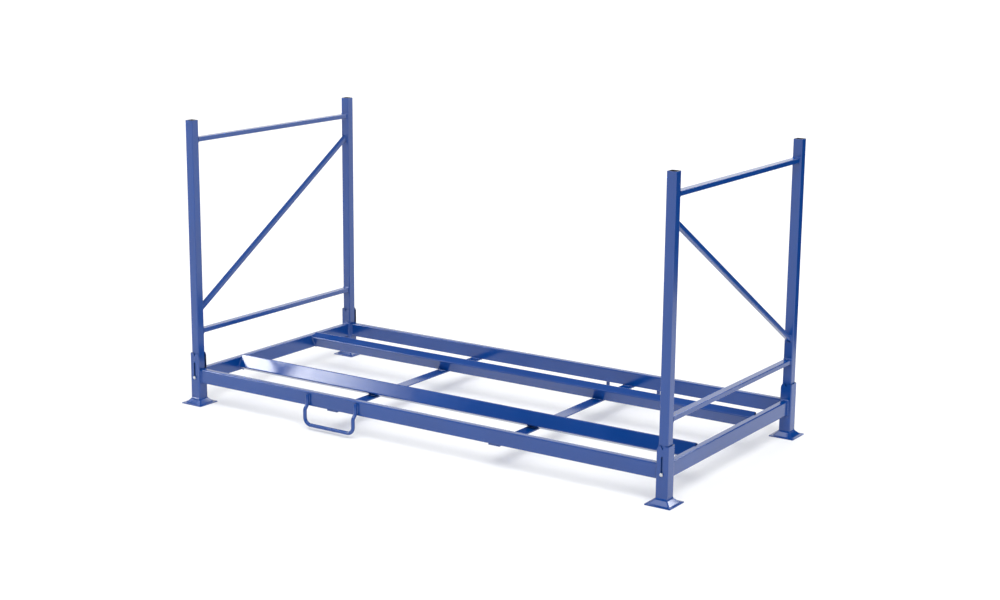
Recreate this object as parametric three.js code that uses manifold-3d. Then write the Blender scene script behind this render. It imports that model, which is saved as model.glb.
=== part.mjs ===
// Folding, stackable tyre storage rack: base frame with four post sleeves, two tilted tyre
// beams, two cross strips, fork loops, and two end frames on pivot bolts that ride in slots.
// Millimetres, +X along the rack, +Y from front to back, +Z up, origin on the floor at the middle.
import * as THREE from 'three';
import { mergeVertices } from 'three/addons/utils/BufferGeometryUtils.js';
import Module from 'manifold-3d';

const wasm = await Module();
wasm.setup();

// ---- driving dimensions -------------------------------------------------------------
const PITCH_X = 2300;          // sleeve centre to sleeve centre along the rack
const PITCH_Y = 1045;          // sleeve centre to sleeve centre across the rack
const GAP = 0.3;               // clearance left where two pieces are welded or touch

const SLEEVE = 50;             // square tube that takes a post
const SLEEVE_WALL = 3;
const SLEEVE_R = 5;
const SLEEVE_TOP = 225;
const OVERCUT = 1;             // cutters reach this far past the faces they cut
const SILL_EASE = 0.1;         // window cutter past the inner face of the sleeve's outer walls
const WINDOW_SILL = 155;       // inner wall of the sleeve stops here so the post can fold in
const EAR_CHAMFER = [9, 17];   // cut off the inner top corner of each slotted wall (X, Z)
const V_NOTCH = [7, 14];       // half width and depth of the V in the top of those walls

const FOOT = 110;              // pressed square foot, flange edge to flange edge
const FOOT_FLANGE = 4;
const FOOT_CONE_BASE = 88;     // outside of the pyramid where it leaves the flange
const FOOT_TOP = 22;
const FOOT_SHELL = 3;
const STOP_Z = 40;             // plate in the sleeve that lands on the post of the rack below
const STOP_T = 4;
const STOP_DRAIN_R = 6;
const STOP_R = 2.2;
const STOP_RIM = 3;            // the plate's rounded rim, filled by a square inside it

const RAIL_H = 61;             // long and end rails, rectangular tube
const RAIL_W = 28;
const RAIL_WALL = 2.5;
const RAIL_R = 5;
const RAIL_TOP = 155;
const END_RAIL_SHIFT = 2;      // end rails sit this far inboard of the sleeve centres

const BEAM = [40, 60];         // tyre beam tube: tyre face width, side width
const BEAM_WALL = 3;
const BEAM_R = 5;
const BEAM_TILT = 30;          // degrees, tyre face leans in toward the tyre
const BEAM_Y = 253;            // beam centre line from the middle of the rack

const STRIP_X = 402;           // flat cross strips under the rails
const STRIP_W = 52;
const STRIP_T = 5;
const STRIP_HALF = 533;

const LOOP_ROD = 16;           // fork loop, round bar
const LOOP_X = 398;            // middle of the loop from the middle of the rack
const LOOP_W = 253;
const LOOP_TOP = 146;
const LOOP_JOG = [100, 84];    // the legs step outward between these two heights
const LOOP_STEP = 15;
const LOOP_BOTTOM = 20.5;
const LOOP_BEND = 30;
const LOOP_SOFT = 7;           // reach of the bends at the step
const SOFT_OUT = 0.75;         // where a bend leaves the sloping run, as shares of that reach
const SOFT_DOWN = 0.66;
const LOOP_STEPS = 90;

const POST = 39;               // end frame post, square tube
const POST_WALL = 2.5;
const POST_R = 4;
const POST_TOP = 1234;
const STUB = 9.5;              // post below the pivot
const BAR = [30, 20];          // cross bars of the end frame, flat wise
const BAR_WALL = 2;
const BAR_R = 3;
const TOP_BAR_Z = 1150;
const LOW_BAR_Z = 319.5;
const DIAG = 20;               // diagonal, square tube
const DIAG_R = 3;
const DIAG_HIGH = 1049;        // where its centre line meets one post
const DIAG_LOW = 416;          // and the other

const PIVOT_Z = 118;
const SLOT_TOP = 182;          // highest pivot centre the slot allows
const BOLT_R = 4;
const BOLT_SIDES = 24;
const BOLT_END = 1.5;          // thread standing out of the nut
const SHANK_ROOT = 0.5;        // shank reaches this far into the head
const HEAD_GROOVE = 1.6;       // ring cut that rounds the corners of the head
const POST_HOLE_EASE = 0.4;
const NUT_EASE = 0.05;
const SLOT_R = 4.35;
const HEAD = [13, 5.4];        // hexagon across flats, thickness
const NUT_T = 6.5;
// hidden relief in the post, in X and Z from the pivot
const RELIEF = [[-22, 38.3], [-9, 29.5], [-9, 20], [-22, 7]];
const MIN_INNER_R = 0.8;       // smallest inside corner of a tube

// ---- helpers ------------------------------------------------------------------------
function solid(geometry) {
  const g = geometry.clone();
  g.deleteAttribute('normal');
  g.deleteAttribute('uv');
  const m = mergeVertices(g, 1e-4);
  return new wasm.Manifold(new wasm.Mesh({
    numProp: 3,
    vertProperties: new Float32Array(m.attributes.position.array),
    triVerts: new Uint32Array(m.index.array),
  }));
}

function toGeometry(manifold) {
  const mesh = manifold.getMesh();
  const n = mesh.vertProperties.length / mesh.numProp;
  const pos = new Float32Array(n * 3);
  for (let i = 0; i < n; i += 1) {
    for (let k = 0; k < 3; k += 1) pos[3 * i + k] = mesh.vertProperties[i * mesh.numProp + k];
  }
  const g = new THREE.BufferGeometry();
  g.setAttribute('position', new THREE.BufferAttribute(pos, 3));
  g.setIndex(new THREE.BufferAttribute(new Uint32Array(mesh.triVerts), 1));
  const flat = g.toNonIndexed();
  flat.computeVertexNormals();
  return flat;
}

function roundedRect(path, w, h, r) {
  const x = w / 2;
  const y = h / 2;
  path.moveTo(-x + r, -y);
  path.lineTo(x - r, -y);
  path.absarc(x - r, -y + r, r, -Math.PI / 2, 0, false);
  path.lineTo(x, y - r);
  path.absarc(x - r, y - r, r, 0, Math.PI / 2, false);
  path.lineTo(-x + r, y);
  path.absarc(-x + r, y - r, r, Math.PI / 2, Math.PI, false);
  path.lineTo(-x, -y + r);
  path.absarc(-x + r, -y + r, r, Math.PI, 1.5 * Math.PI, false);
  return path;
}

// Hollow rectangular tube along +Z from 0 to length; w along X, h along Y.
function tube(w, h, r, wall, length) {
  const shape = roundedRect(new THREE.Shape(), w, h, r);
  const innerR = Math.max(r - wall, MIN_INNER_R);
  shape.holes.push(roundedRect(new THREE.Path(), w - 2 * wall, h - 2 * wall, innerR));
  return new THREE.ExtrudeGeometry(shape, { depth: length, bevelEnabled: false, curveSegments: 2 });
}

function box(x0, x1, y0, y1, z0, z1) {
  return new THREE.BoxGeometry(x1 - x0, y1 - y0, z1 - z0)
    .translate((x0 + x1) / 2, (y0 + y1) / 2, (z0 + z1) / 2);
}

// Square frustum, full widths w0 at z0 and w1 at z1.
function frustum(w0, z0, w1, z1) {
  return new THREE.CylinderGeometry(w1 / Math.SQRT2, w0 / Math.SQRT2, z1 - z0, 4, 1)
    .rotateY(Math.PI / 4).rotateX(Math.PI / 2).translate(0, 0, (z0 + z1) / 2);
}

// Prism through Y from a polygon in X and Z.
function prismY(points, y0, y1) {
  const shape = new THREE.Shape(points.map(([x, z]) => new THREE.Vector2(x, z)));
  return new THREE.ExtrudeGeometry(shape, { depth: y1 - y0, bevelEnabled: false })
    .rotateX(Math.PI / 2).translate(0, y1, 0);
}

function rodY(r, y0, y1, sides) {
  return new THREE.CylinderGeometry(r, r, y1 - y0, sides).translate(0, (y0 + y1) / 2, 0);
}

const steel = new THREE.MeshStandardMaterial({
  name: 'blue_powder_coat',
  color: 0x123f8a,
  roughness: 0.35,
  metalness: 0.0,
});
const zinc = new THREE.MeshStandardMaterial({
  name: 'zinc_plate',
  color: 0xc9cdd2,
  roughness: 0.3,
  metalness: 1.0,
});

const rack = new THREE.Group();
rack.name = 'tyre_storage_rack';

function add(name, geometry, material = steel) {
  const mesh = new THREE.Mesh(geometry, material);
  mesh.name = name;
  rack.add(mesh);
}

// corner name, side along X (-1 left, +1 right), side along Y (-1 front, +1 back)
const corners = [['fl', -1, -1], ['fr', 1, -1], ['bl', -1, 1], ['br', 1, 1]];

// ---- base: sleeves, feet and stacking stops ------------------------------------------
// Built for the right front corner (inner side toward -X, slot on -Y) and turned to suit.
function sleeve(sx, sy) {
  const half = SLEEVE / 2;
  const inner = half - SLEEVE_WALL;
  const over = half + OVERCUT;
  const above = SLEEVE_TOP + OVERCUT;
  const foot0 = FOOT_TOP + GAP;
  let s = solid(tube(SLEEVE, SLEEVE, SLEEVE_R, SLEEVE_WALL, SLEEVE_TOP - foot0).translate(0, 0, foot0));
  // window for the folding post
  s = s.subtract(solid(box(-over, -inner + SILL_EASE, -inner, inner, WINDOW_SILL, above)));
  // chamfered ears in both walls beside the post
  const [cx, cz] = EAR_CHAMFER;
  s = s.subtract(solid(prismY([
    [-over, SLEEVE_TOP - cz],
    [-half, SLEEVE_TOP - cz],
    [-half + cx, SLEEVE_TOP],
    [-half + cx, above],
    [-over, above],
  ], -over, over)));
  // and the V in the same walls
  const [vx, vz] = V_NOTCH;
  s = s.subtract(solid(prismY([
    [-vx, above],
    [-vx, SLEEVE_TOP],
    [0, SLEEVE_TOP - vz],
    [vx, SLEEVE_TOP],
    [vx, above],
  ], -over, over)));
  // slot in the outer wall
  const slotIn = -inner + OVERCUT;
  const slot = solid(rodY(SLOT_R, -over, slotIn, BOLT_SIDES).translate(0, 0, PIVOT_Z))
    .add(solid(rodY(SLOT_R, -over, slotIn, BOLT_SIDES).translate(0, 0, SLOT_TOP)))
    .add(solid(box(-SLOT_R, SLOT_R, -over, slotIn, PIVOT_Z, SLOT_TOP)));
  s = s.subtract(slot);
  if (sx < 0) s = s.mirror([1, 0, 0]);
  if (sy > 0) s = s.mirror([0, 1, 0]);
  return s;
}

function foot() {
  const cone = solid(frustum(FOOT_CONE_BASE, FOOT_FLANGE, SLEEVE + 2 * GAP, FOOT_TOP));
  const flange = solid(box(-FOOT / 2, FOOT / 2, -FOOT / 2, FOOT / 2, 0, FOOT_FLANGE));
  const slope = (FOOT_CONE_BASE - SLEEVE - 2 * GAP) / 2 / (FOOT_TOP - FOOT_FLANGE);
  const shell = FOOT_SHELL * Math.hypot(1, slope);
  const at = (z) => FOOT_CONE_BASE - 2 * (z - FOOT_FLANGE) * slope - 2 * shell;
  const below = -OVERCUT;
  const above = FOOT_TOP + OVERCUT;
  return flange.add(cone).subtract(solid(frustum(at(below), below, at(above), above)));
}

function stackStop() {
  const room = SLEEVE / 2 - SLEEVE_WALL - GAP;
  const fill = room - STOP_RIM;
  const rim = solid(tube(2 * room, 2 * room, STOP_R, room - STOP_DRAIN_R, STOP_T));
  const drain = new THREE.CylinderGeometry(STOP_DRAIN_R, STOP_DRAIN_R, 3 * STOP_T, 20);
  return rim.add(solid(box(-fill, fill, -fill, fill, 0, STOP_T)))
    .subtract(solid(drain.rotateX(Math.PI / 2)));
}

for (const [tag, sx, sy] of corners) {
  const x = sx * PITCH_X / 2;
  const y = sy * PITCH_Y / 2;
  add(`sleeve_${tag}`, toGeometry(sleeve(sx, sy)).translate(x, y, 0));
  add(`foot_${tag}`, toGeometry(foot()).translate(x, y, 0));
  add(`stack_stop_${tag}`, toGeometry(stackStop()).translate(x, y, STOP_Z));
}

// ---- base: rails -----------------------------------------------------------------------
const railZ = RAIL_TOP - RAIL_H / 2;
const longRail = PITCH_X - SLEEVE - 2 * GAP;
const endRail = PITCH_Y - SLEEVE - 2 * GAP;
for (const [tag, sy] of [['front', -1], ['back', 1]]) {
  add(`long_rail_${tag}`, tube(RAIL_H, RAIL_W, RAIL_R, RAIL_WALL, longRail)
    .translate(0, 0, -longRail / 2).rotateY(Math.PI / 2).translate(0, sy * PITCH_Y / 2, railZ));
}
for (const [tag, sx] of [['left', -1], ['right', 1]]) {
  add(`end_rail_${tag}`, tube(RAIL_W, RAIL_H, RAIL_R, RAIL_WALL, endRail)
    .translate(0, 0, -endRail / 2)
    .rotateX(Math.PI / 2)
    .translate(sx * (PITCH_X / 2 - END_RAIL_SHIFT), 0, railZ));
}

// ---- base: cross strips and tyre beams ----------------------------------------------------
const stripTop = RAIL_TOP - RAIL_H - GAP;
for (const [tag, sx] of [['left', -1], ['right', 1]]) {
  const x = sx * STRIP_X;
  const side = STRIP_W / 2;
  add(`cross_strip_${tag}`, box(x - side, x + side, -STRIP_HALF, STRIP_HALF, stripTop - STRIP_T, stripTop));
}
const tilt = THREE.MathUtils.degToRad(BEAM_TILT);
// lowest point of the tilted, rounded tube below its centre; it rests on the strips
const [face, side] = BEAM.map((size) => size / 2 - BEAM_R);
const beamDrop = face * Math.sin(tilt) + side * Math.cos(tilt) + BEAM_R;
const beamZ = stripTop + GAP + beamDrop;
const beamHalf = PITCH_X / 2 - END_RAIL_SHIFT - RAIL_W / 2 - GAP;
for (const [tag, sy] of [['front', -1], ['back', 1]]) {
  // tube laid along X, tyre face up, then leaned so that face looks up and inward
  add(`tyre_beam_${tag}`, tube(BEAM[1], BEAM[0], BEAM_R, BEAM_WALL, 2 * beamHalf)
    .translate(0, 0, -beamHalf).rotateY(Math.PI / 2).rotateX(sy * tilt).translate(0, sy * BEAM_Y, beamZ));
}

// ---- base: fork loops ----------------------------------------------------------------------
function forkLoop() {
  // front loop, drawn about X = 0 with the rail's outer face at Y = 0 and outward toward -Y
  const r = LOOP_ROD / 2;
  const y0 = -r - GAP;
  const y1 = y0 - LOOP_STEP;
  const w = LOOP_W / 2;
  const path = new THREE.CurvePath();
  const V = (x, y, z) => new THREE.Vector3(x, y, z);
  const line = (a, b) => path.add(new THREE.LineCurve3(a, b));
  const bend = (a, b, c) => path.add(new THREE.QuadraticBezierCurve3(a, b, c));
  const [ja, jb] = LOOP_JOG;
  const out = LOOP_SOFT * SOFT_OUT;
  const down = LOOP_SOFT * SOFT_DOWN;
  const leg = (x) => [
    V(x, y0, LOOP_TOP),
    V(x, y0, ja + LOOP_SOFT),
    V(x, y0, ja),
    V(x, y0 - out, ja - down),
    V(x, y1 + out, jb + down),
    V(x, y1, jb),
    V(x, y1, jb - LOOP_SOFT),
    V(x, y1, LOOP_BOTTOM + LOOP_BEND),
  ];
  const left = leg(-w);
  const right = leg(w);
  line(left[0], left[1]);
  bend(left[1], left[2], left[3]);
  line(left[3], left[4]);
  bend(left[4], left[5], left[6]);
  line(left[6], left[7]);
  bend(left[7], V(-w, y1, LOOP_BOTTOM), V(-w + LOOP_BEND, y1, LOOP_BOTTOM));
  line(V(-w + LOOP_BEND, y1, LOOP_BOTTOM), V(w - LOOP_BEND, y1, LOOP_BOTTOM));
  bend(V(w - LOOP_BEND, y1, LOOP_BOTTOM), V(w, y1, LOOP_BOTTOM), right[7]);
  line(right[7], right[6]);
  bend(right[6], right[5], right[4]);
  line(right[4], right[3]);
  bend(right[3], right[2], right[1]);
  line(right[1], right[0]);
  const round = new THREE.Shape();
  round.absarc(0, 0, r, 0, 2 * Math.PI, false);
  return new THREE.ExtrudeGeometry(round, {
    steps: LOOP_STEPS,
    extrudePath: path,
    curveSegments: 6,
    bevelEnabled: false,
  });
}
const loopFace = PITCH_Y / 2 + RAIL_W / 2;
add('fork_loop_front', toGeometry(solid(forkLoop())).translate(-LOOP_X, -loopFace, 0));
add('fork_loop_back', toGeometry(solid(forkLoop())).rotateZ(Math.PI).translate(LOOP_X, loopFace, 0));

// ---- end frames ------------------------------------------------------------------------------
// Built for the right front corner like the sleeves.
function post(sx, sy) {
  const half = POST / 2;
  let p = solid(tube(POST, POST, POST_R, POST_WALL, POST_TOP - PIVOT_Z + STUB).translate(0, 0, -STUB));
  const over = half + OVERCUT;
  p = p.subtract(solid(prismY(RELIEF, -over, over)));
  p = p.subtract(solid(rodY(BOLT_R + POST_HOLE_EASE, -over, -half + POST_WALL + OVERCUT, BOLT_SIDES)));
  if (sx < 0) p = p.mirror([1, 0, 0]);
  if (sy > 0) p = p.mirror([0, 1, 0]);
  return p.translate([0, 0, PIVOT_Z]);
}

function hexagon(flats, y0, y1) {
  return solid(rodY(flats / Math.sqrt(3), y0, y1, 6));
}

const headSeat = -SLEEVE / 2 - GAP;
const nutSeat = -POST / 2 + POST_WALL + GAP;

// Head outside the sleeve, shank through the slot and the post's wall.
function pivotBolt() {
  const [flats, thick] = HEAD;
  const head = hexagon(flats, headSeat - thick, headSeat);
  const end = nutSeat + NUT_T + BOLT_END;
  const groove = new THREE.TorusGeometry(flats / 2 + HEAD_GROOVE, HEAD_GROOVE, 8, 32)
    .rotateX(Math.PI / 2)
    .translate(0, headSeat - thick, 0);
  return head.add(solid(rodY(BOLT_R, headSeat - SHANK_ROOT, end, BOLT_SIDES))).subtract(solid(groove));
}

// The nut turns with the bolt inside the post.
function pivotNut() {
  const bore = rodY(BOLT_R + GAP + NUT_EASE, nutSeat - OVERCUT, nutSeat + NUT_T + OVERCUT, BOLT_SIDES);
  return hexagon(HEAD[0], nutSeat, nutSeat + NUT_T).subtract(solid(bore));
}

for (const [tag, sx, sy] of corners) {
  const x = sx * PITCH_X / 2;
  const y = sy * PITCH_Y / 2;
  add(`post_${tag}`, toGeometry(post(sx, sy)).translate(x, y, 0));
  let bolt = pivotBolt();
  let nut = pivotNut();
  if (sy > 0) {
    bolt = bolt.mirror([0, 1, 0]);
    nut = nut.mirror([0, 1, 0]);
  }
  add(`pivot_bolt_${tag}`, toGeometry(bolt).translate(x, y, PIVOT_Z), zinc);
  add(`pivot_nut_${tag}`, toGeometry(nut).translate(x, y, PIVOT_Z), zinc);
}

const clear = PITCH_Y / 2 - POST / 2 - GAP; // bars stop just short of the posts
for (const [tag, sx] of [['left', -1], ['right', 1]]) {
  const x = sx * PITCH_X / 2;
  for (const [name, z] of [['top_bar', TOP_BAR_Z], ['low_bar', LOW_BAR_Z]]) {
    add(`${name}_${tag}`, tube(BAR[0], BAR[1], BAR_R, BAR_WALL, 2 * clear)
      .translate(0, 0, -clear).rotateX(Math.PI / 2).translate(x, 0, z));
  }
  // diagonal: high at the front post on the right, high at the back post on the left
  const run = PITCH_Y - POST;
  const slope = Math.atan2(DIAG_HIGH - DIAG_LOW, run);
  const long = run / Math.cos(slope) + 2 * DIAG;
  let d = solid(tube(DIAG, DIAG, DIAG_R, BAR_WALL, long).translate(0, 0, -long / 2)
    .rotateX(Math.PI / 2).rotateX(-sx * slope).translate(0, 0, (DIAG_HIGH + DIAG_LOW) / 2));
  d = d.intersect(solid(box(-DIAG, DIAG, -clear, clear, 0, POST_TOP)));
  add(`diagonal_${tag}`, toGeometry(d).translate(x, 0, 0));
}

export default rack;
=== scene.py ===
"""Looks of the folding tyre storage rack: powder coat, zinc, weld beads, feet, loops and bolts.

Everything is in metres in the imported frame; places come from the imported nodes' boxes.
"""
import math
import random

import bpy
from mathutils import Matrix, Vector


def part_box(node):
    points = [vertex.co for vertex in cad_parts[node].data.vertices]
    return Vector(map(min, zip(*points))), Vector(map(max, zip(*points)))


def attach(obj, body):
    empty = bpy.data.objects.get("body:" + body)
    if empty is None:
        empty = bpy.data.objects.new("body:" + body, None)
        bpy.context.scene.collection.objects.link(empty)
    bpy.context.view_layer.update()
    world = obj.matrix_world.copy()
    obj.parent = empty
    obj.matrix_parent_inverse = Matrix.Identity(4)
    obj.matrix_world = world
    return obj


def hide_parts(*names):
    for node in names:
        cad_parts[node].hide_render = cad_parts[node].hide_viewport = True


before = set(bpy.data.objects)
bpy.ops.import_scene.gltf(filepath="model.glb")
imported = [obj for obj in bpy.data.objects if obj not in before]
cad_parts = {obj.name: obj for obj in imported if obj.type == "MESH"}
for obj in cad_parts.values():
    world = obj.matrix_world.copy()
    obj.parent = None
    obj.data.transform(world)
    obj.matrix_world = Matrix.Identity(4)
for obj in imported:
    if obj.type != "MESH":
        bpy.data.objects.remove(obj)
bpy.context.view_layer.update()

MM = 0.001
X, Y, Z = Vector((1, 0, 0)), Vector((0, 1, 0)), Vector((0, 0, 1))
ENDS = {"left": -1, "right": 1}
SIDES = {"front": -1, "back": 1}
CORNERS = {"fl": (-1, -1), "fr": (1, -1), "bl": (-1, 1), "br": (1, 1)}

# ---- camera ---------------------------------------------------------------------------
CAMERA_AT = (4.164, -6.129, 2.209)
CAMERA_HEADING = 33.75       # degrees left of +Y
CAMERA_DIP = 12.87           # degrees below level
CAMERA_ROLL = 0.52
CAMERA_SENSOR = 36.0
CAMERA_LENS = 65.4
CAMERA_FAR = 200

# ---- sizes that the node boxes don't give, in mm ------------------------------------------
RAIL_R = 5
SLEEVE_R = 5
BAR_R = 3
DIAGONAL_W = 20
BEAM_SIZE = (60, 40)
BEAM_R = 5
BEAM_TILT = 30
ROD = 16                     # round bar of the fork loops
LOOP_BEND = 30
LOOP_JOG = (100, 84)         # heights between which a leg steps outward
LOOP_JOG_BEND = 14
BOLT_FLATS = 13
BOLT_HEAD = 5.4
BOLT_SHANK = 8
BOLT_DISH = ((0.55, 0.05), (0.5, 3.7), (0.12, 4.5), (0.0, 5.8))   # depth and radius, top of the head
BOLT_CHAMFER = 1.25          # depth of the turned chamfer on the head's corners
BOLT_WASHER_R = 6.0
BOLT_TIP = ((0.6, 0.5), (0.0, 1.3))   # distance from the end and cut off the radius
THREAD_PITCH = 1.25
THREAD_DEPTH = 0.65
THREAD_FREE = (1.2, 1.0)     # smooth shank next to the head and at the tip
FOOT_TOP = 22
FOOT_FLANGE = 4
FOOT_HALF = 55
FOOT_CONE = (44, 25.3)       # half widths of the pyramid at the flange and at its top
FOOT_R = 5.4                 # corner radius of the pyramid
FOOT_SHELL = 3

# ---- finish ---------------------------------------------------------------------------
COAT_BLUE = (0.0006, 0.045, 0.235)
COAT_DEEP = (0.0005, 0.039, 0.208)
COAT_RUBBED = (0.020, 0.090, 0.330)
COAT_IOR = 1.56
COAT_ROUGHNESS = (0.15, 0.21)
COAT_WORN = (0.5, 0.12)      # what rubbed edges add: share of the rubbed colour, and roughness
COAT_EDGE = 1.2 * MM         # reach of the rubbing from an edge
ORANGE_PEEL = (0.00003, 0.4)     # bump distance and strength
DRAW_LINES = (0.0001, 0.6)
ZINC_LIGHT = (0.62, 0.64, 0.67)
ZINC_DARK = (0.36, 0.38, 0.41)
ZINC_ROUGHNESS = (0.20, 0.38)
# inside of the tubes: real mill scale and rust, darkened to near black as painted shade
SHADED_MILL_SCALE = (0.003, 0.003, 0.004)
SHADED_MILL_RUST = (0.010, 0.008, 0.007)
MILL_ROUGHNESS = (0.55, 0.8)
MILL_SPECULAR = 0.15
# object-space frequencies per metre of the draw lines that show through the coat
GRAIN_ACROSS, GRAIN_ALONG = 230.0, 5.0
GRAIN_EVEN = 60.0


def make_camera():
    data = bpy.data.cameras.new("camera")
    data.sensor_width = CAMERA_SENSOR
    data.lens = CAMERA_LENS
    data.clip_end = CAMERA_FAR
    camera = bpy.data.objects.new("camera", data)
    bpy.context.scene.collection.objects.link(camera)
    turn = (Matrix.Rotation(math.radians(CAMERA_HEADING), 4, "Z")
            @ Matrix.Rotation(math.radians(90 - CAMERA_DIP), 4, "X")
            @ Matrix.Rotation(math.radians(CAMERA_ROLL), 4, "Z"))
    camera.matrix_world = Matrix.Translation(CAMERA_AT) @ turn
    bpy.context.scene.camera = camera


# ---- mesh helpers -----------------------------------------------------------------------
SHARP_OVER = 38              # degrees between faces; softer edges are shaded smooth
WELD_SHARP_OVER = 60
BOLT_SHARP_OVER = 24


def new_piece(name, points, faces, body, material, sharp_over=SHARP_OVER):
    mesh = bpy.data.meshes.new(name)
    mesh.from_pydata([tuple(p) for p in points], [], faces)
    mesh.validate()
    mesh.shade_smooth()
    mesh.set_sharp_from_angle(angle=math.radians(sharp_over))
    mesh.materials.append(material)
    piece = bpy.data.objects.new(name, mesh)
    bpy.context.scene.collection.objects.link(piece)
    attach(piece, body)
    return piece


class Builder:
    """Collects closed parts, each made of rings of points, into one mesh."""

    def __init__(self):
        self.points = []
        self.faces = []

    def rings(self, rings, close_rows=False, caps=False):
        """Joins rings of equal length, facing outward. close_rows joins the last ring to the first."""
        start = len(self.points)
        n = len(rings[0])
        for ring in rings:
            self.points.extend(ring)
        rows = len(rings)
        faces = []
        for i in range(rows if close_rows else rows - 1):
            a = start + i * n
            b = start + (i + 1) % rows * n
            for k in range(n):
                j = (k + 1) % n
                faces.append((a + k, b + k, b + j, a + j))
        if caps:
            last = start + (rows - 1) * n
            faces.append(tuple(start + k for k in range(n)))
            faces.append(tuple(last + k for k in reversed(range(n))))
        if self.volume(faces) < 0:
            faces = [tuple(reversed(face)) for face in faces]
        self.faces.extend(faces)

    def volume(self, faces):
        """Six times the volume a closed set of faces encloses, negative when they face inward."""
        centre = self.points[faces[0][0]]
        total = 0.0
        for face in faces:
            fan = [self.points[i] - centre for i in face]
            for b, c in zip(fan[1:], fan[2:]):
                total += fan[0].dot(b.cross(c))
        return total


def rounded_loop(centre, u, v, w, h, r, arc_points=6):
    """Points and outward normals round a rounded rectangle w along u and h along v."""
    out = []
    for cu, cv, start in ((1, 1, 0), (-1, 1, 90), (-1, -1, 180), (1, -1, 270)):
        corner = centre + u * (cu * (w / 2 - r)) + v * (cv * (h / 2 - r))
        for k in range(arc_points):
            a = math.radians(start + 90 * k / (arc_points - 1))
            n = u * math.cos(a) + v * math.sin(a)
            out.append((corner + n * r, n))
    return out


def resample(path, step, closed):
    """Evenly spaced (point, normal) pairs along a path of such pairs."""
    pairs = path + [path[0]] if closed else path
    lengths = [0.0]
    for (p, _), (q, _) in zip(pairs, pairs[1:]):
        lengths.append(lengths[-1] + (q - p).length)
    total = lengths[-1]
    count = max(4, round(total / step))
    out = []
    i = 0
    for k in range(count if closed else count + 1):
        at = total * k / count
        while i < len(lengths) - 2 and lengths[i + 1] < at:
            i += 1
        span = lengths[i + 1] - lengths[i]
        t = (at - lengths[i]) / span if span > 0 else 0
        (p, n), (q, m) = pairs[i], pairs[i + 1]
        out.append((p.lerp(q, t), n.lerp(m, t).normalized()))
    return out


# ---- weld beads ---------------------------------------------------------------------------
BEAD_STEP = 0.9 * MM
BEAD_FACETS = 6              # across a bead
BEAD_FLATNESS = 1.45         # 1 is a quarter ellipse, 2 a flat face
BEAD_SINK = 0.12             # how far its root lies inside the steel, as a share of its size
BEAD_START = 0.35            # size of a bead's tip, as a share of the full size
BEAD_GROWTH = 1.2            # length over which it grows, in bead sizes
RIPPLE = 3.1 * MM            # from one solidified ripple to the next
RIPPLE_DEPTH = 0.13
RIPPLE_MEAN = 0.07
WANDER_MEMORY = 0.85         # the hand-made unevenness along a bead
WANDER_STEP = 0.018
# leg lengths of the welds, mm: one number, or across and up
RAIL_BEAD = 6.2
LONG_RAIL_BEAD = RAIL_BEAD * 0.75
BAR_BEAD = 5.0
DIAGONAL_BEAD = BAR_BEAD * 0.9
FOOT_BEAD = 4.2
STRIP_SIDE_BEAD = 3.2
STRIP_TOP_BEAD = (5.0, 3.4)
BEAM_END_BEAD = 3.4
BEAM_STRIP_BEAD = (4.6, 3.8)
LOOP_BEAD = (5.4, 4.6)
STRIP_INSET = 4              # beads across a strip stop this far from its edges
RAIL_BEAD_OVER = 0.5         # how far a long rail's bead may rise above its straight sides
BEAM_BEAD_ROOT = 4.2         # root of a strip bead from the line where the beam touches
BEAM_BEAD_DROP = 6           # beads round a beam's end stop this far below the rail's top
BEAM_BEAD_SPACING = 2        # points of the line round a beam's end
LOOP_BEAD_ENDS = (3, 2)      # left free above the step and below the leg's top
LOOP_BEAD_ROOT = 0.30        # root from the middle of a leg, as a share of the bar's diameter
SEAM_ROOT = 0.55             # root under a rail's rounded corner, as a share of its radius
dice = random.Random(20)


def bead_rings(path, along, across, up, closed):
    """Cross sections of a fillet weld with ripples. Each path pair holds a root point and the
    direction across one face; along is the direction up the other face."""
    samples = resample(path, BEAD_STEP, closed)
    rings = []
    wander = 0.0
    count = len(samples)
    for i, (p, out) in enumerate(samples):
        wander = WANDER_MEMORY * wander + dice.gauss(0, WANDER_STEP)
        phase = (i * BEAD_STEP / RIPPLE) % 1.0
        scale = 1 + wander + RIPPLE_DEPTH * (0.5 - phase) ** 2 * 4 - RIPPLE_MEAN
        if not closed:
            end = min(i, count - 1 - i) * BEAD_STEP
            grown = min(1.0, end / (BEAD_GROWTH * across)) ** 0.5
            scale *= BEAD_START + (1 - BEAD_START) * grown
        a = out * (across * scale)
        b = along * (up * scale)
        ring = [p - a * BEAD_SINK - b * BEAD_SINK]
        for k in range(BEAD_FACETS + 1):
            t = math.radians(90 * k / BEAD_FACETS)
            ring.append(p + b * math.cos(t) ** BEAD_FLATNESS + a * math.sin(t) ** BEAD_FLATNESS)
        rings.append(ring)
    return rings


def add_bead(builder, path, along, size, closed=True):
    across, up = size if isinstance(size, tuple) else (size, size)
    rings = bead_rings(path, along, across * MM, up * MM, closed)
    builder.rings(rings, close_rows=closed, caps=not closed)


def finish_welds(builder, name, body, material):
    new_piece(name, builder.points, builder.faces, body, material, WELD_SHARP_OVER)


def middle(node):
    lo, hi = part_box(node)
    return (lo + hi) / 2, hi - lo


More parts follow.
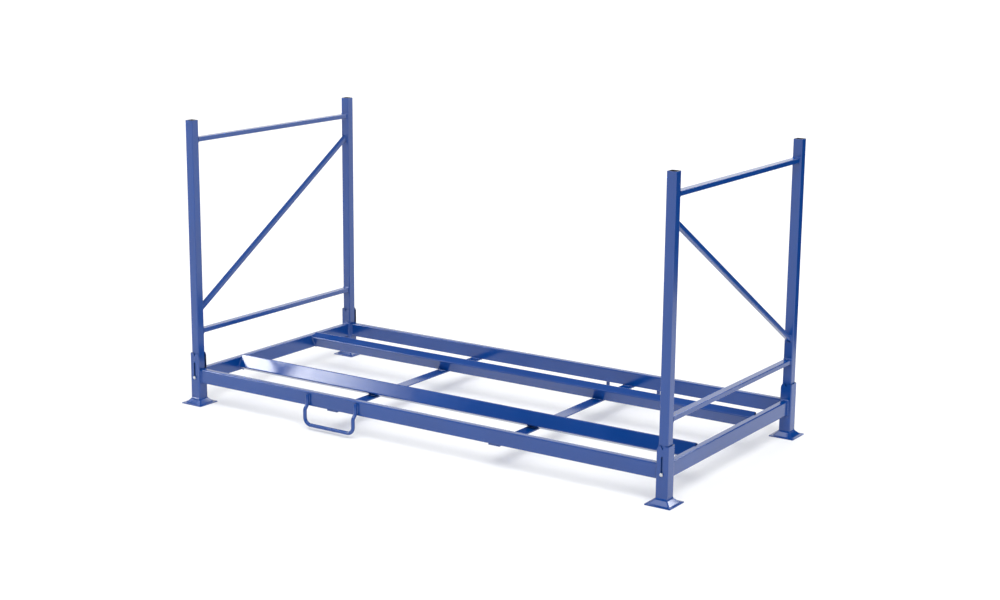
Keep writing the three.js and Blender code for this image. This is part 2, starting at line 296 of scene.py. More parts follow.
def rail_welds(material):
    """Rails to sleeves. A long rail's top is flush with the sleeve's sill, so its bead is a U."""
    for side in SIDES:
        centre, size = middle(f"long_rail_{side}")
        builder = Builder()
        for sx in (-1, 1):
            end = Vector((centre.x + sx * size.x / 2, centre.y, centre.z))
            loop = rounded_loop(end, Y, Z, size.y, size.z, RAIL_R * MM)
            start = next(i for i, pair in enumerate(loop) if pair[0].z < centre.z and pair[0].y < end.y)
            order = loop[start:] + loop[:start]
            top = centre.z + size.z / 2 - RAIL_R * MM
            low = [pair for pair in order if pair[0].z < top + RAIL_BEAD_OVER * MM]
            first, last = low[0], low[-1]
            low = [(Vector((end.x, first[0].y, top)), first[1])] + low
            low = low + [(Vector((end.x, last[0].y, top)), last[1])]
            add_bead(builder, low, X * -sx, LONG_RAIL_BEAD, closed=False)
        finish_welds(builder, f"weld_long_rail_{side}", "base", material)
    for end in ENDS:
        centre, size = middle(f"end_rail_{end}")
        builder = Builder()
        for sy in (-1, 1):
            at = Vector((centre.x, centre.y + sy * size.y / 2, centre.z))
            loop = rounded_loop(at, X, Z, size.x, size.z, RAIL_R * MM)
            add_bead(builder, loop, Y * -sy, RAIL_BEAD)
        finish_welds(builder, f"weld_end_rail_{end}", "base", material)


def foot_welds(material):
    """Round each sleeve, where it stands on the sloping faces of its foot."""
    fall = math.atan2((FOOT_TOP - FOOT_FLANGE), FOOT_CONE[0] - FOOT_CONE[1])
    for tag in CORNERS:
        centre, size = middle(f"sleeve_{tag}")
        at = Vector((centre.x, centre.y, FOOT_TOP * MM))
        loop = rounded_loop(at, X, Y, size.x, size.y, SLEEVE_R * MM)
        sloped = [(p, (n * math.cos(fall) - Z * math.sin(fall)).normalized()) for p, n in loop]
        builder = Builder()
        add_bead(builder, sloped, Z, FOOT_BEAD)
        finish_welds(builder, f"weld_foot_{tag}", "base", material)


def frame_welds(material):
    """Bars and diagonal of each end frame to its posts."""
    for end in ENDS:
        builder = Builder()
        for bar in ("top_bar", "low_bar"):
            centre, size = middle(f"{bar}_{end}")
            for sy in (-1, 1):
                at = Vector((centre.x, centre.y + sy * size.y / 2, centre.z))
                loop = rounded_loop(at, X, Z, size.x, size.z, BAR_R * MM)
                add_bead(builder, loop, Y * -sy, BAR_BEAD)
        lo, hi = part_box(f"diagonal_{end}")
        cut = slant_cut(lo, hi)
        for sy in (-1, 1):
            # the right frame's diagonal is high at the front, the left one's at the back
            high = sy * ENDS[end] < 0
            z = hi.z - cut / 2 if high else lo.z + cut / 2
            at = Vector(((lo.x + hi.x) / 2, sy * hi.y, z))
            loop = rounded_loop(at, X, Z, DIAGONAL_W * MM, cut, BAR_R * MM)
            add_bead(builder, loop, Y * -sy, DIAGONAL_BEAD)
        finish_welds(builder, f"weld_frame_{end}", f"{end}_frame", material)


def slant_cut(lo, hi):
    """Height of a diagonal's cut end. Its box is as high as the rise of its centre line, run * tan,
    and the cut, width / cos; the slope that gives that is found by repetition."""
    run = hi.y - lo.y
    height = hi.z - lo.z
    width = DIAGONAL_W * MM
    slope = math.atan2(height, run)
    for _ in range(30):
        slope = math.atan2(height - width / math.cos(slope), run)
    return width / math.cos(slope)


def strip_line(lo, hi, y):
    """Both ends of a bead across the top of a strip whose box is given."""
    inset = STRIP_INSET * MM
    return [Vector((x, y, hi.z)) for x in (lo.x + inset, hi.x - inset)]


def strip_welds(material):
    """Cross strips under the rails: along the strip's edges below, along the rail's side above."""
    for end in ENDS:
        lo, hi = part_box(f"cross_strip_{end}")
        builder = Builder()
        for side, sy in SIDES.items():
            rail_lo, rail_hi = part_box(f"long_rail_{side}")
            inner = rail_hi.y if sy < 0 else rail_lo.y
            reach = (rail_hi.y - rail_lo.y) / 2 - RAIL_R * MM
            mid = (rail_lo.y + rail_hi.y) / 2
            for sx, x in ((-1, lo.x), (1, hi.x)):
                run = [Vector((x, y, rail_lo.z)) for y in (mid - reach, mid + reach)]
                add_bead(builder, [(p, X * sx) for p in run], -Z, STRIP_SIDE_BEAD, closed=False)
            y = inner + sy * RAIL_R * MM * SEAM_ROOT
            run = strip_line(lo, hi, y)
            add_bead(builder, [(p, Y * -sy) for p in run], Z, STRIP_TOP_BEAD, closed=False)
        finish_welds(builder, f"weld_strip_{end}", "base", material)


def beam_frame(side):
    """Centre, across and up directions of a tilted tyre beam, in the Y-Z plane."""
    centre, _ = middle(f"tyre_beam_{side}")
    lean = Matrix.Rotation(math.radians(BEAM_TILT) * SIDES[side], 3, "X")
    return centre, lean @ Z, lean @ Y


def beam_welds(material):
    """Beams to both end rails, as far up as they meet them, and to the strips they rest on."""
    long_side, short_side = (size * MM for size in BEAM_SIZE)
    radius = BEAM_R * MM
    for side, sy in SIDES.items():
        centre, up, across = beam_frame(side)
        lo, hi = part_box(f"tyre_beam_{side}")
        builder = Builder()
        for end, sx in ENDS.items():
            rail_lo, rail_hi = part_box(f"end_rail_{end}")
            at = Vector((lo.x if sx < 0 else hi.x, centre.y, centre.z))
            loop = rounded_loop(at, up, across, long_side, short_side, radius)
            start = max(range(len(loop)), key=lambda i: loop[i][0].z)
            order = resample(loop[start:] + loop[:start], BEAM_BEAD_SPACING * MM, True)
            top = rail_hi.z - BEAM_BEAD_DROP * MM
            low = [pair for pair in order if pair[0].z < top]
            add_bead(builder, low, X * -sx, BEAM_END_BEAD, closed=False)
        lowest = centre - up * (long_side / 2 - radius) - across * sy * (short_side / 2 - radius)
        for end in ENDS:
            strip_lo, strip_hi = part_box(f"cross_strip_{end}")
            for away in (-1, 1):
                run = strip_line(strip_lo, strip_hi, lowest.y + away * BEAM_BEAD_ROOT * MM)
                add_bead(builder, [(p, Y * away) for p in run], Z, BEAM_STRIP_BEAD, closed=False)
        finish_welds(builder, f"weld_beam_{side}", "base", material)


def loop_welds(material):
    """Each leg of a fork loop has a bead down both sides against the rail."""
    for side, sy in SIDES.items():
        lo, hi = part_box(f"fork_loop_{side}")
        rail_lo, rail_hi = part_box(f"long_rail_{side}")
        face = rail_lo.y if sy < 0 else rail_hi.y
        builder = Builder()
        low = LOOP_JOG[0] * MM + LOOP_BEAD_ENDS[0] * MM
        high = hi.z - LOOP_BEAD_ENDS[1] * MM
        for leg in (lo.x + ROD / 2 * MM, hi.x - ROD / 2 * MM):
            for sx in (-1, 1):
                x = leg + sx * ROD * LOOP_BEAD_ROOT * MM
                path = [(Vector((x, face, z)), X * sx) for z in (low, high)]
                add_bead(builder, path, Y * sy, LOOP_BEAD, closed=False)
        finish_welds(builder, f"weld_fork_loop_{side}", "base", material)


# ---- pressed feet ---------------------------------------------------------------------------
FOOT_RINGS = 6               # down the outside of the pyramid


def foot_profile():
    """Half width, corner radius and height of each ring, from the top edge down and back up."""
    wide, narrow = FOOT_CONE
    drop = FOOT_TOP - FOOT_FLANGE
    lean = (wide - narrow) / drop
    shell = FOOT_SHELL * math.hypot(1, lean)
    rings = [(narrow, FOOT_R - 0.1, FOOT_TOP), (narrow + 0.4, FOOT_R, FOOT_TOP - 0.25)]
    for k in range(FOOT_RINGS):     # outside of the pyramid
        t = 0.06 + 0.86 * k / (FOOT_RINGS - 1)
        rings.append((narrow + (wide - narrow) * t, FOOT_R, FOOT_TOP - drop * t))
    for t in (0.3, 0.65, 1.0):      # the bend where the pyramid meets the flange
        rings.append((wide - 1.2 + 2.6 * t, FOOT_R + 0.1, FOOT_FLANGE + 1.25 * (1 - t) ** 2))
    rings += [                      # flange, its worn edge and its underside
        (FOOT_HALF - 5, FOOT_R, FOOT_FLANGE),
        (FOOT_HALF - 1, FOOT_R - 0.6, FOOT_FLANGE),
        (FOOT_HALF - 0.3, FOOT_R - 1.0, FOOT_FLANGE - 0.35),
        (FOOT_HALF, FOOT_R - 1.2, FOOT_FLANGE - 1),
        (FOOT_HALF, FOOT_R - 1.2, 0.6),
        (FOOT_HALF - 0.4, FOOT_R - 1.3, 0.0),
        (FOOT_HALF - 5, FOOT_R - 0.4, 0.0),
    ]
    low = wide + FOOT_FLANGE * lean - shell
    rings += [(low + 1.4, 5, 0.0), (low + 0.2, 4.8, 0.35), (low - 1.3, 4.5, 1.3)]
    for k in range(FOOT_RINGS - 1):     # inside of the pyramid
        t = 0.12 + 0.88 * k / (FOOT_RINGS - 2)
        rings.append((low - FOOT_TOP * lean * t, 4.4 - 1.0 * t, FOOT_TOP * t))
    return rings


def make_feet(material):
    """Thin pressed feet, hollow underneath, in place of the faceted ones."""
    for tag in CORNERS:
        centre, _ = middle(f"foot_{tag}")
        builder = Builder()
        rings = []
        for half, radius, z in foot_profile():
            at = Vector((centre.x, centre.y, z * MM))
            loop = rounded_loop(at, X, Y, 2 * half * MM, 2 * half * MM, radius * MM, arc_points=9)
            rings.append([p for p, _ in loop])
        builder.rings(rings, close_rows=True)
        foot = new_piece(f"pressed_foot_{tag}", builder.points, builder.faces, "base", material)
        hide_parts(f"foot_{tag}")


# ---- fork loops ---------------------------------------------------------------------------
SAWN_END = ((0.84, 0.0), (0.95, 0.3), (1.0, 1.0))   # radius and depth, as shares of the full ones
SAWN_DEPTH = 0.16            # depth of the softened end, as a share of the radius


def rounded_path(corners, radii, step_deg=7):
    """A polyline through corners whose bends are arcs of the given radii."""
    path = [corners[0]]
    for a, b, c, r in zip(corners, corners[1:], corners[2:], radii):
        u, v = (a - b).normalized(), (c - b).normalized()
        turn = math.pi - u.angle(v)
        cut = r * math.tan(turn / 2)
        centre = b + (u + v).normalized() * (r / math.cos(turn / 2))
        first = b + u * cut - centre
        axis = first.cross(b + v * cut - centre).normalized()
        steps = max(2, round(math.degrees(turn) / step_deg))
        for k in range(steps + 1):
            path.append(centre + Matrix.Rotation(turn * k / steps, 3, axis) @ first)
    path.append(corners[-1])
    return path


def sweep_rod(path, radius, sides=20):
    """Rings of a round bar along a path, with slightly rounded sawn ends."""
    tangents = []
    for i, p in enumerate(path):
        ahead = path[min(i + 1, len(path) - 1)]
        behind = path[max(i - 1, 0)]
        tangents.append((ahead - behind).normalized())
    side = tangents[0].orthogonal().normalized()
    frames = []
    for p, t in zip(path, tangents):
        side = (side - t * side.dot(t)).normalized()
        frames.append((p, side, t.cross(side), t))

    def ring(at, shrink, shift):
        p, s, o, t = at
        r = radius * shrink
        angles = [2 * math.pi * k / sides for k in range(sides)]
        return [p + t * shift + s * (r * math.cos(a)) + o * (r * math.sin(a)) for a in angles]

    soft = radius * SAWN_DEPTH
    out = [ring(frames[0], shrink, soft * depth) for shrink, depth in SAWN_END]
    out += [ring(at, 1, 0) for at in frames[1:-1]]
    out += [ring(frames[-1], shrink, -soft * depth) for shrink, depth in reversed(SAWN_END)]
    return out


def make_loops(material):
    """Fork loops with true round bends, in place of the faceted ones."""
    for side, sy in SIDES.items():
        lo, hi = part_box(f"fork_loop_{side}")
        r = ROD / 2 * MM
        near = hi.y - r if sy < 0 else lo.y + r      # legs against the rail
        far = lo.y + r if sy < 0 else hi.y - r       # bar of the loop, stepped outward
        left, right, bottom, top = lo.x + r, hi.x - r, lo.z + r, hi.z
        jog_high, jog_low = LOOP_JOG[0] * MM, LOOP_JOG[1] * MM
        leg = ((near, top), (near, jog_high), (far, jog_low), (far, bottom))
        corners = [Vector((left, y, z)) for y, z in leg]
        corners += [Vector((right, y, z)) for y, z in reversed(leg)]
        step, bend = LOOP_JOG_BEND * MM, LOOP_BEND * MM
        path = rounded_path(corners, [step, step, bend, bend, step, step])
        builder = Builder()
        builder.rings(sweep_rod(path, r), caps=True)
        loop = new_piece(f"bent_fork_loop_{side}", builder.points, builder.faces, "base", material)
        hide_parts(f"fork_loop_{side}")


# ---- bolts ----------------------------------------------------------------------------------
BOLT_SIDES = 72
CHAMFER_RINGS = 8


def hex_radius(angle, flats):
    """Distance from a hexagon's middle to its side at an angle."""
    return flats / 2 / math.cos((angle + math.pi / 6) % (math.pi / 3) - math.pi / 6)


def make_bolts(material):
    """Hexagon head with its turned chamfer and washer face, and a threaded shank."""
    for tag, (sx, sy) in CORNERS.items():
        node = f"pivot_bolt_{tag}"
        centre, size = middle(node)
        lo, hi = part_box(node)
        outer = lo.y if sy < 0 else hi.y
        inward = Y * -sy
        flats = BOLT_FLATS * MM
        head = BOLT_HEAD * MM
        spin = dice.uniform(0, math.pi / 3)
        angles = [2 * math.pi * k / BOLT_SIDES for k in range(BOLT_SIDES)]

        def ring(depth, radius_at):
            at = Vector((centre.x, outer, centre.z)) + inward * depth
            return [at + (X * math.cos(a) + Z * math.sin(a)) * radius_at(a) for a in angles]

        def capped(limit):
            return lambda a: min(hex_radius(a + spin, flats), limit)

        def turned(radius):
            return lambda a: radius

        rings = [ring(depth * MM, turned(radius * MM)) for depth, radius in BOLT_DISH]
        for k in range(CHAMFER_RINGS):
            t = k / (CHAMFER_RINGS - 1)
            rings.append(ring(t * BOLT_CHAMFER * MM, capped(flats / 2 * (0.955 + 0.205 * t))))
        rings.append(ring(head - 0.7 * MM, capped(flats)))
        rings.append(ring(head - 0.35 * MM, capped(flats / 2 * 1.03)))
        rings.append(ring(head - 0.3 * MM, turned(BOLT_WASHER_R * MM)))
        rings.append(ring(head, turned(BOLT_WASHER_R * MM)))
        shank = BOLT_SHANK / 2 * MM
        length = size.y
        rings.append(ring(head + 0.05 * MM, turned(shank)))
        pitch = THREAD_PITCH * MM
        crests = int((length - head - sum(THREAD_FREE) * MM) / pitch)
        for k in range(2 * crests):
            depth = head + THREAD_FREE[0] * MM + k * pitch / 2
            rings.append(ring(depth, turned(shank - (THREAD_DEPTH * MM if k % 2 else 0))))
        rings += [ring(length - back * MM, turned(shank - less * MM)) for back, less in BOLT_TIP]
        builder = Builder()
        builder.rings(rings, caps=True)
        body = "left_pivots" if sx < 0 else "right_pivots"
        bolt = new_piece(f"hex_bolt_{tag}", builder.points, builder.faces, body, material,
                         BOLT_SHARP_OVER)
        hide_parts(node)


# ---- materials ------------------------------------------------------------------------------
MAP_RANGE = ("From Min", "From Max", "To Min", "To Max")
MID_NOISE = (0.3, 0.7)       # the span that most of a noise texture's values lie in


class Nodes:
    """Short names for making shader nodes."""

    def __init__(self, material):
        material.use_nodes = True
        self.tree = material.node_tree
        self.shader = self.tree.nodes["Principled BSDF"]
        self.coords = self.tree.nodes.new("ShaderNodeTexCoord")

    def link(self, source, target):
        self.tree.links.new(source, target)

    def noise(self, scale, detail=2.0, roughness=0.5):
        node = self.tree.nodes.new("ShaderNodeTexNoise")
        node.inputs["Scale"].default_value = scale
        node.inputs["Detail"].default_value = detail
        node.inputs["Roughness"].default_value = roughness
        self.link(self.coords.outputs["Object"], node.inputs["Vector"])
        return node.outputs["Fac"]

    def stretched(self, frequencies):
        mapping = self.tree.nodes.new("ShaderNodeMapping")
        mapping.inputs["Scale"].default_value = frequencies
        self.link(self.coords.outputs["Object"], mapping.inputs["Vector"])
        node = self.tree.nodes.new("ShaderNodeTexNoise")
        node.inputs["Scale"].default_value = 1.0
        node.inputs["Detail"].default_value = 2.0
        self.link(mapping.outputs["Vector"], node.inputs["Vector"])
        return node.outputs["Fac"]

    def ranged(self, value, low, high, to_low, to_high):
        node = self.tree.nodes.new("ShaderNodeMapRange")
        for name, number in zip(MAP_RANGE, (low, high, to_low, to_high)):
            node.inputs[name].default_value = number
        self.link(value, node.inputs["Value"])
        return node.outputs["Result"]

    def maths(self, operation, a, b):
        node = self.tree.nodes.new("ShaderNodeMath")
        node.operation = operation
        for socket, value in zip(node.inputs, (a, b)):
            if isinstance(value, float):
                socket.default_value = value
            else:
                self.link(value, socket)
        return node.outputs["Value"]

    def mixed(self, factor, a, b):
        node = self.tree.nodes.new("ShaderNodeMix")
        node.data_type = "RGBA"
        self.link(factor, node.inputs["Factor"])
        for socket, value in ((node.inputs[6], a), (node.inputs[7], b)):
            if isinstance(value, tuple):
                socket.default_value = (*value, 1)
            else:
                self.link(value, socket)
        return node.outputs[2]

    def bump(self, height, distance, strength=1.0, normal=None):
        node = self.tree.nodes.new("ShaderNodeBump")
        node.inputs["Strength"].default_value = strength
        node.inputs["Distance"].default_value = distance
        self.link(height, node.inputs["Height"])
        if normal is not None:
            self.link(normal, node.inputs["Normal"])
        return node.outputs["Normal"]

    def edges(self, radius):
        """0 on flat faces, rising to 1 at edges, where the bevelled normal leaves the true one."""
        bevel = self.tree.nodes.new("ShaderNodeBevel")
        bevel.samples = 4
        bevel.inputs["Radius"].default_value = radius
        geometry = self.tree.nodes.new("ShaderNodeNewGeometry")
        dot = self.tree.nodes.new("ShaderNodeVectorMath")
        dot.operation = "DOT_PRODUCT"
        self.link(bevel.outputs["Normal"], dot.inputs[0])
        self.link(geometry.outputs["Normal"], dot.inputs[1])
        return self.ranged(dot.outputs["Value"], 0.995, 0.86, 0.0, 1.0)


def powder_coat(name, grain):
    """Glossy blue powder coat. grain holds the object-space frequencies, per metre, of the faint
    draw lines that show through it along a tube."""
    material = bpy.data.materials.new(name)
    n = Nodes(material)
    cloud = n.ranged(n.noise(3.0, 2.0), 0.35, 0.65, 0.0, 1.0)
    colour = n.mixed(cloud, COAT_BLUE, COAT_DEEP)
    scuffs = n.ranged(n.noise(60.0, 5.0, 0.65), 0.50, 0.64, 0.0, 1.0)
    worn = n.maths("MULTIPLY", n.edges(COAT_EDGE), scuffs)
    colour = n.mixed(n.maths("MULTIPLY", worn, COAT_WORN[0]), colour, COAT_RUBBED)
    n.link(colour, n.shader.inputs["Base Color"])
    rough = n.ranged(n.noise(11.0, 3.0, 0.55), *MID_NOISE, *COAT_ROUGHNESS)
    rough = n.maths("ADD", rough, n.maths("MULTIPLY", worn, COAT_WORN[1]))
    n.link(rough, n.shader.inputs["Roughness"])
    n.shader.inputs["IOR"].default_value = COAT_IOR
    peel = n.bump(n.noise(300.0, 1.0, 0.4), *ORANGE_PEEL)
    lines = n.bump(n.stretched(grain), *DRAW_LINES, peel)
    n.link(lines, n.shader.inputs["Normal"])
    return material


def raw_steel_painted_shade():
    """Unpainted mill scale and rust inside the tubes, darkened to near black as painted shade for their
    shadowed insides.
    """
    material = bpy.data.materials.new("raw_tube_inside_painted_shade")
    n = Nodes(material)
    shaded_scale_and_rust = n.mixed(n.noise(40.0, 4.0), SHADED_MILL_SCALE, SHADED_MILL_RUST)
    n.link(shaded_scale_and_rust, n.shader.inputs["Base Color"])
    n.shader.inputs["Specular IOR Level"].default_value = MILL_SPECULAR
    n.link(n.ranged(n.noise(90.0, 3.0), *MID_NOISE, *MILL_ROUGHNESS), n.shader.inputs["Roughness"])
    n.link(n.bump(n.noise(500.0, 3.0), 0.0001, 0.5), n.shader.inputs["Normal"])
    return material


def bright_zinc():
    """Zinc plate with a fine spangle."""
    material = bpy.data.materials.new("bright_zinc")
    n = Nodes(material)
    spangle = n.ranged(n.noise(420.0, 4.0, 0.6), 0.35, 0.7, 0.0, 1.0)
    n.link(n.mixed(spangle, ZINC_LIGHT, ZINC_DARK), n.shader.inputs["Base Color"])
    n.shader.inputs["Metallic"].default_value = 1.0
    n.link(n.ranged(n.noise(900.0, 3.0), *MID_NOISE, *ZINC_ROUGHNESS), n.shader.inputs["Roughness"])
    n.link(n.bump(n.noise(1600.0, 2.0), 0.00005, 0.4), n.shader.inputs["Normal"])
    return material


OPEN_TUBES = ("post_", "sleeve_", "tyre_beam")   # their insides can be seen
MERGE_WITHIN = 0.004 * MM
SMOOTH_UNDER = math.radians(33)
INSIDE_FROM_AXIS = 4 * MM    # a tube's inside faces look at its axis from farther than this


def finishing_group(inside):
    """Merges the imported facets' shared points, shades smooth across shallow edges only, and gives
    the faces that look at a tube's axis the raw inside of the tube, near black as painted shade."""
    tree = bpy.data.node_groups.new("finish_cad_node", "GeometryNodeTree")
    tree.interface.new_socket("Geometry", in_out="OUTPUT", socket_type="NodeSocketGeometry")
    tree.interface.new_socket("Geometry", in_out="INPUT", socket_type="NodeSocketGeometry")
    sockets = {}
    inputs = (("Axis point", "Vector"), ("Axis direction", "Vector"), ("Hollow", "Float"))
    for name, kind in inputs:
        socket = tree.interface.new_socket(name, in_out="INPUT", socket_type="NodeSocket" + kind)
        sockets[name] = socket.identifier
    kinds = ("NodeGroupInput", "GeometryNodeMergeByDistance", "GeometryNodeSetShadeSmooth",
             "GeometryNodeSetShadeSmooth", "GeometryNodeSetMaterial", "NodeGroupOutput")
    chain = [tree.nodes.new(kind) for kind in kinds]
    given, merge, smooth_faces, smooth_edges, paint, _ = chain
    merge.inputs["Distance"].default_value = MERGE_WITHIN
    smooth_faces.domain = "FACE"
    smooth_edges.domain = "EDGE"
    angle = tree.nodes.new("GeometryNodeInputMeshEdgeAngle")
    shallow = tree.nodes.new("ShaderNodeMath")
    shallow.operation = "LESS_THAN"
    shallow.inputs[1].default_value = SMOOTH_UNDER
    tree.links.new(angle.outputs["Unsigned Angle"], shallow.inputs[0])
    tree.links.new(shallow.outputs["Value"], smooth_edges.inputs["Shade Smooth"])

    def vector_maths(operation, a, b):
        node = tree.nodes.new("ShaderNodeVectorMath")
        node.operation = operation
        tree.links.new(a, node.inputs[0])
        tree.links.new(b, node.inputs[1])
        return node.outputs["Value" if operation == "DOT_PRODUCT" else "Vector"]

    where = tree.nodes.new("GeometryNodeInputPosition").outputs[0]
    facing = tree.nodes.new("GeometryNodeInputNormal").outputs[0]
    offset = vector_maths("SUBTRACT", where, given.outputs["Axis point"])
    along = vector_maths("PROJECT", offset, given.outputs["Axis direction"])
    toward = vector_maths("DOT_PRODUCT", vector_maths("SUBTRACT", offset, along), facing)
    inward = tree.nodes.new("ShaderNodeMath")
    inward.operation = "LESS_THAN"
    inward.inputs[1].default_value = -INSIDE_FROM_AXIS
    tree.links.new(toward, inward.inputs[0])
    chosen = tree.nodes.new("ShaderNodeMath")
    chosen.operation = "MULTIPLY"
    tree.links.new(inward.outputs["Value"], chosen.inputs[0])
    tree.links.new(given.outputs["Hollow"], chosen.inputs[1])
    tree.links.new(chosen.outputs["Value"], paint.inputs["Selection"])
    # faces inside a tube get the near-black steel: real mill scale with painted shade
    paint.inputs["Material"].default_value = inside
    for a, b in zip(chain, chain[1:]):
        tree.links.new(a.outputs[0], b.inputs[0])
    return tree, sockets


def grain_of(name):
    """The direction a node's tube or bar runs in."""
    if name.startswith(("long_rail", "tyre_beam")):
        return "X"
    if name.startswith(("end_rail", "top_bar", "low_bar", "cross_strip", "diagonal")):
        return "Y"
    return "Z"


def dress_cad_nodes(coats, zinc, inside):
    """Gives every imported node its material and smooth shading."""
    tree, sockets = finishing_group(inside)
    directions = {"X": X, "Y": Y, "Z": Z}
    for name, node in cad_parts.items():
        bare = name.startswith("pivot_")
        grain = grain_of(name)
        node.data.materials.clear()
        node.data.materials.append(zinc if bare else coats[grain])
        centre, size = middle(name)
        modifier = node.modifiers.new("finish", "NODES")
        modifier.node_group = tree
        modifier[sockets["Axis point"]] = tuple(centre)
        modifier[sockets["Axis direction"]] = tuple(directions[grain])
        modifier[sockets["Hollow"]] = 1.0 if name.startswith(OPEN_TUBES) else 0.0
        weighted = node.modifiers.new("weighted", "WEIGHTED_NORMAL")
        weighted.keep_sharp = True
        weighted.weight = 90


# ---- studio -----------------------------------------------------------------------------------
KEY_FROM = (0.35, -0.50, 1.0)
KEY_STRENGTH = 1.75
KEY_SPREAD = 45              # degrees across, for soft shadows
FLOOR_HALF = 60.0
FLOOR_TONE = (0.80, 0.83)
FLOOR_ROUGHNESS = 0.7
FLOOR_GLOW = (0.10, 0.35)    # light from the floor itself, as lit and as mirrored in gloss
ROOM = 0.92                  # evenly bright room that lights everything
ROOM_TINT = (0.98, 0.99, 1.0, 1)
# what gloss mirrors: walls, a brighter cove behind the left end, dimmer overhead and front
GLOSS_ROOM = (0.75, 1.3)
GLOSS_OVERHEAD = 0.4
GLOSS_FRONT = 0.03
COVE = (-0.55, 0.80, 0.22)
FRONT_HIGH = (0.25, -0.85, 0.50)
COVE_EDGE = (0.72, 0.94)     # cosines of the soft edges of these three
OVERHEAD_EDGE = (0.58, 0.78)
FRONT_EDGE = (0.57, 0.69)
# softboxes that only gloss mirrors: direction, cosines of their soft edge, brightness
SOFTBOXES = (
    ((0.27, 0.81, 0.52), (0.979, 0.995), 11.0),
    ((-0.42, -0.30, 0.86), (0.955, 0.985), 3.0),
)
STRIP_LIGHT_AT = (-3.6, -2.35, 1.95)   # softbox card in front of the left end, for gloss only
STRIP_LIGHT_SIZE = (2.2, 1.3)
STRIP_LIGHT = 25.0
STRIP_LIGHT_FADE = (1.05, 0.1)         # it fades between these distances from its right edge
FLAG_AT = (3.1, 2.8)         # black card that high gloss at the right end mirrors
FLAG_SIZE = (4.5, 1.4)
FLAG_BLACK = (0.01, 0.01, 0.012, 1)


def make_key():
    """The one lamp: a sun with a soft edge, high at the front right."""
    data = bpy.data.lights.new("key", "SUN")
    data.energy = KEY_STRENGTH
    data.angle = math.radians(KEY_SPREAD)
    key = bpy.data.objects.new("key", data)
    bpy.context.scene.collection.objects.link(key)
    key.rotation_mode = "QUATERNION"
    key.rotation_quaternion = Vector(KEY_FROM).to_track_quat("Z", "Y")


def stage_quad(name, corners, material):
    mesh = bpy.data.meshes.new(name)
    mesh.from_pydata(corners, [], [(0, 1, 2, 3)])
    mesh.materials.append(material)
    quad = bpy.data.objects.new(name, mesh)
    bpy.context.scene.collection.objects.link(quad)
    return quad


def make_floor():
    """A pale floor that glows a little, so that it stays white away from the rack's shadow."""
    material = bpy.data.materials.new("pale_floor")
    n = Nodes(material)
    material.cycles.emission_sampling = "NONE"
    tone = n.ranged(n.noise(0.8, 3.0), *MID_NOISE, *FLOOR_TONE)
    n.link(n.mixed(tone, (0.0, 0.0, 0.0), (1.0, 1.0, 1.0)), n.shader.inputs["Base Color"])
    n.shader.inputs["Roughness"].default_value = FLOOR_ROUGHNESS
    n.shader.inputs["Emission Color"].default_value = (1, 1, 1, 1)
    path = n.tree.nodes.new("ShaderNodeLightPath")
    glow = n.ranged(path.outputs["Is Glossy Ray"], 0.0, 1.0, *FLOOR_GLOW)
    n.link(glow, n.shader.inputs["Emission Strength"])
    h = FLOOR_HALF
    stage_quad("floor", [(-h, -h, 0), (h, -h, 0), (h, h, 0), (-h, h, 0)], material)


def gloss_card(name, at, across, up, size, material):
    """An upright card that only reflections see."""
    side = across * (size[0] / 2)
    rise = up * (size[1] / 2)
    corners = [at - side - rise, at + side - rise, at + side + rise, at - side + rise]
    card = stage_quad(name, corners, material)
    card.visible_camera = False
    card.visible_diffuse = False
    card.visible_shadow = False
    card.visible_transmission = False


def make_flag():
    """A black card behind the right end."""
    material = bpy.data.materials.new("black_card")
    n = Nodes(material)
    n.shader.inputs["Base Color"].default_value = FLAG_BLACK
    n.shader.inputs["Roughness"].default_value = 1.0
    n.shader.inputs["Specular IOR Level"].default_value = 0.0
    across = Vector((COVE[1], -COVE[0], 0)).normalized()
    at = Vector((FLAG_AT[0], FLAG_AT[1], FLAG_SIZE[1] / 2))
    gloss_card("flag", at, across, Z, FLAG_SIZE, material)


def make_strip_light():
    """Softbox card whose light fades out toward its right edge."""
    material = bpy.data.materials.new("softbox_card")
    material.cycles.emission_sampling = "NONE"
    n = Nodes(material)
    n.shader.inputs["Base Color"].default_value = (0.0, 0.0, 0.0, 1)
    n.shader.inputs["Specular IOR Level"].default_value = 0.0
    n.shader.inputs["Emission Color"].default_value = (1, 1, 1, 1)
    at = Vector(STRIP_LIGHT_AT)
    up = (Z - at.normalized() * at.normalized().z).normalized()
    across = up.cross(at.normalized())
    where = n.tree.nodes.new("ShaderNodeVectorMath")
    where.operation = "DOT_PRODUCT"
    where.inputs[1].default_value = tuple(across)
    n.link(n.coords.outputs["Object"], where.inputs[0])
    fade = [STRIP_LIGHT_SIZE[0] / 2 - inset for inset in STRIP_LIGHT_FADE]
    glow = n.ranged(where.outputs["Value"], *fade, STRIP_LIGHT, 0.0)
    n.link(glow, n.shader.inputs["Emission Strength"])
    gloss_card("strip_light", at, across, up, STRIP_LIGHT_SIZE, material)


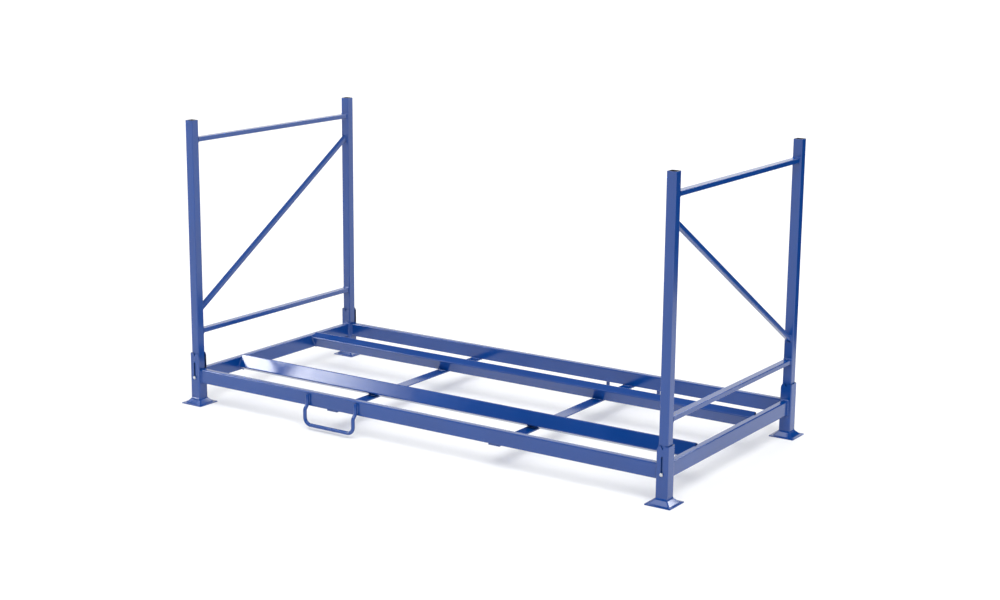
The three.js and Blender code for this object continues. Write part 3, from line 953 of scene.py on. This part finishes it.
def make_world():
    """An even white room, but in gloss a bright cove, dark gaps and softboxes."""
    world = bpy.data.worlds.new("studio")
    world.use_nodes = True
    world.cycles.sampling_method = "NONE"
    tree = world.node_tree
    background = tree.nodes["Background"]
    direction = tree.nodes.new("ShaderNodeTexCoord").outputs["Generated"]

    def ranged(value, low, high, to_low, to_high):
        node = tree.nodes.new("ShaderNodeMapRange")
        node.interpolation_type = "SMOOTHSTEP"
        for name, number in zip(MAP_RANGE, (low, high, to_low, to_high)):
            node.inputs[name].default_value = number
        tree.links.new(value, node.inputs["Value"])
        return node.outputs["Result"]

    def toward(axis):
        node = tree.nodes.new("ShaderNodeVectorMath")
        node.operation = "DOT_PRODUCT"
        node.inputs[1].default_value = tuple(Vector(axis).normalized())
        tree.links.new(direction, node.inputs[0])
        return node.outputs["Value"]

    def maths(operation, a, b):
        node = tree.nodes.new("ShaderNodeMath")
        node.operation = operation
        tree.links.new(a, node.inputs[0])
        tree.links.new(b, node.inputs[1])
        return node.outputs["Value"]

    gloss = ranged(toward(COVE), *COVE_EDGE, *GLOSS_ROOM)
    for axis, edge, dimmed in ((Z, OVERHEAD_EDGE, GLOSS_OVERHEAD), (FRONT_HIGH, FRONT_EDGE, GLOSS_FRONT)):
        gloss = maths("MULTIPLY", gloss, ranged(toward(axis), *edge, 1.0, dimmed))
    for axis, edge, brightness in SOFTBOXES:
        gloss = maths("ADD", gloss, ranged(toward(axis), *edge, 0.0, brightness))
    choose = tree.nodes.new("ShaderNodeMix")
    choose.inputs["A"].default_value = ROOM
    path = tree.nodes.new("ShaderNodeLightPath")
    tree.links.new(path.outputs["Is Glossy Ray"], choose.inputs["Factor"])
    tree.links.new(gloss, choose.inputs["B"])
    tree.links.new(choose.outputs["Result"], background.inputs["Strength"])
    background.inputs["Color"].default_value = ROOM_TINT
    bpy.context.scene.world = world


make_camera()
coats = {}
for along in "XYZ":
    grain = [GRAIN_ALONG if axis == along else GRAIN_ACROSS for axis in "XYZ"]
    coats[along] = powder_coat("blue_powder_coat_" + along.lower(), grain)
plain_coat = powder_coat("blue_powder_coat", [GRAIN_EVEN] * 3)
zinc_plate = bright_zinc()
dress_cad_nodes(coats, zinc_plate, raw_steel_painted_shade())
make_feet(plain_coat)
make_loops(plain_coat)
make_bolts(zinc_plate)
for weld in (rail_welds, foot_welds, frame_welds, strip_welds, beam_welds, loop_welds):
    weld(plain_coat)
make_floor()
make_flag()
make_strip_light()
make_world()
make_key()
bpy.context.scene.view_settings.view_transform = "Standard"
